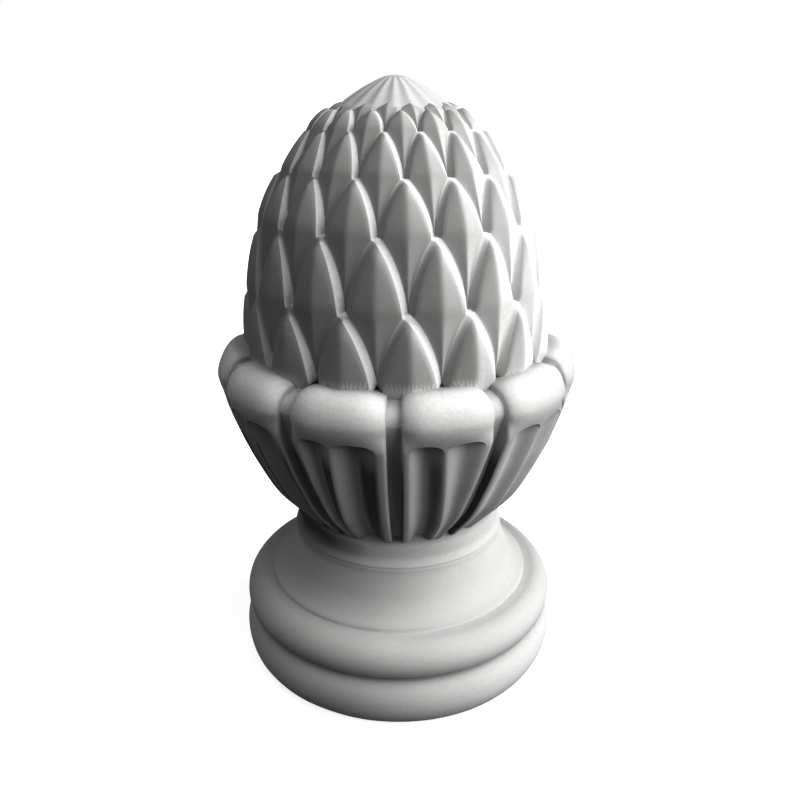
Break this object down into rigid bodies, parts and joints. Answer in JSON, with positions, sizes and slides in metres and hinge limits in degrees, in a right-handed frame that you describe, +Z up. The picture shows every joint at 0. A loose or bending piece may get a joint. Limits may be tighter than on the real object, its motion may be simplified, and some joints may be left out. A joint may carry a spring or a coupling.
{
  "type": "cone finial",
  "caption": "Garden finial: a scaled cone rising from a cup of turned-over leaves, on a round moulded foot, cast in one piece.",
  "frame": {"origin": "centre of the underside of the foot, at the level it stands on", "axes": "+Z up along the axis of the finial, -Y towards the side seen in the picture"},
  "size_m": [0.2698, 0.2689, 0.45],
  "materials": {
    "stone": "matt cast stone, fine grained and lightly mottled"
  },
  "bodies": {
    "root": {"finial": "stone"}
  },
  "joints": []
}
